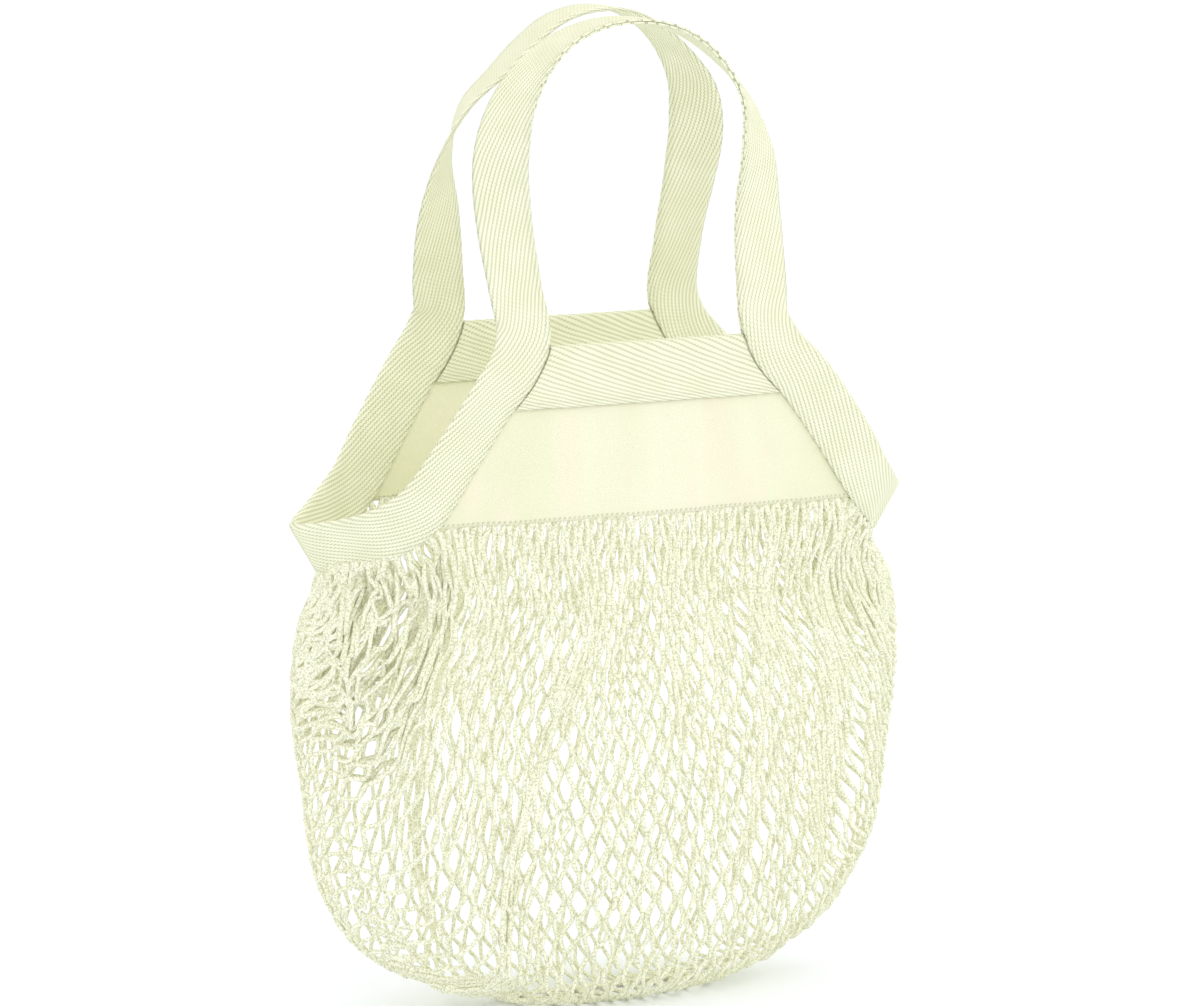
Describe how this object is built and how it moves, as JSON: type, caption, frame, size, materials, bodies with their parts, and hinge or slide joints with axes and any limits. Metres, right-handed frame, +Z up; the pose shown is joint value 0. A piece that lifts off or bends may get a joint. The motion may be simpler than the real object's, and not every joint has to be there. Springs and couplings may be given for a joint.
{
  "type": "string shopping bag",
  "caption": "Small natural cotton string bag: knitted net sack, plain cotton top panels, and folded twill tape that edges the mouth and forms two short loop handles.",
  "frame": {"origin": "grip point midway between the tops of the two handles, level with the underside of the front handle's tape, where a hand or hook carries the bag", "axes": "+Z up; +X across the bag's face, to the right as seen from the front; +Y from the front panel to the back panel"},
  "size_m": [0.3084, 0.1344, 0.4558],
  "materials": {
    "tape_cotton": "matte cotton twill tape",
    "panel_cotton": "matte plain-weave cotton",
    "net_cotton": "matte knitted cotton yarn"
  },
  "bodies": {
    "root": {"net_body": "net_cotton", "front_panel": "panel_cotton", "back_panel": "panel_cotton", "front_top_binding": "tape_cotton", "back_top_binding": "tape_cotton", "front_handle_tape": "tape_cotton", "back_handle_tape": "tape_cotton"}
  },
  "joints": []
}
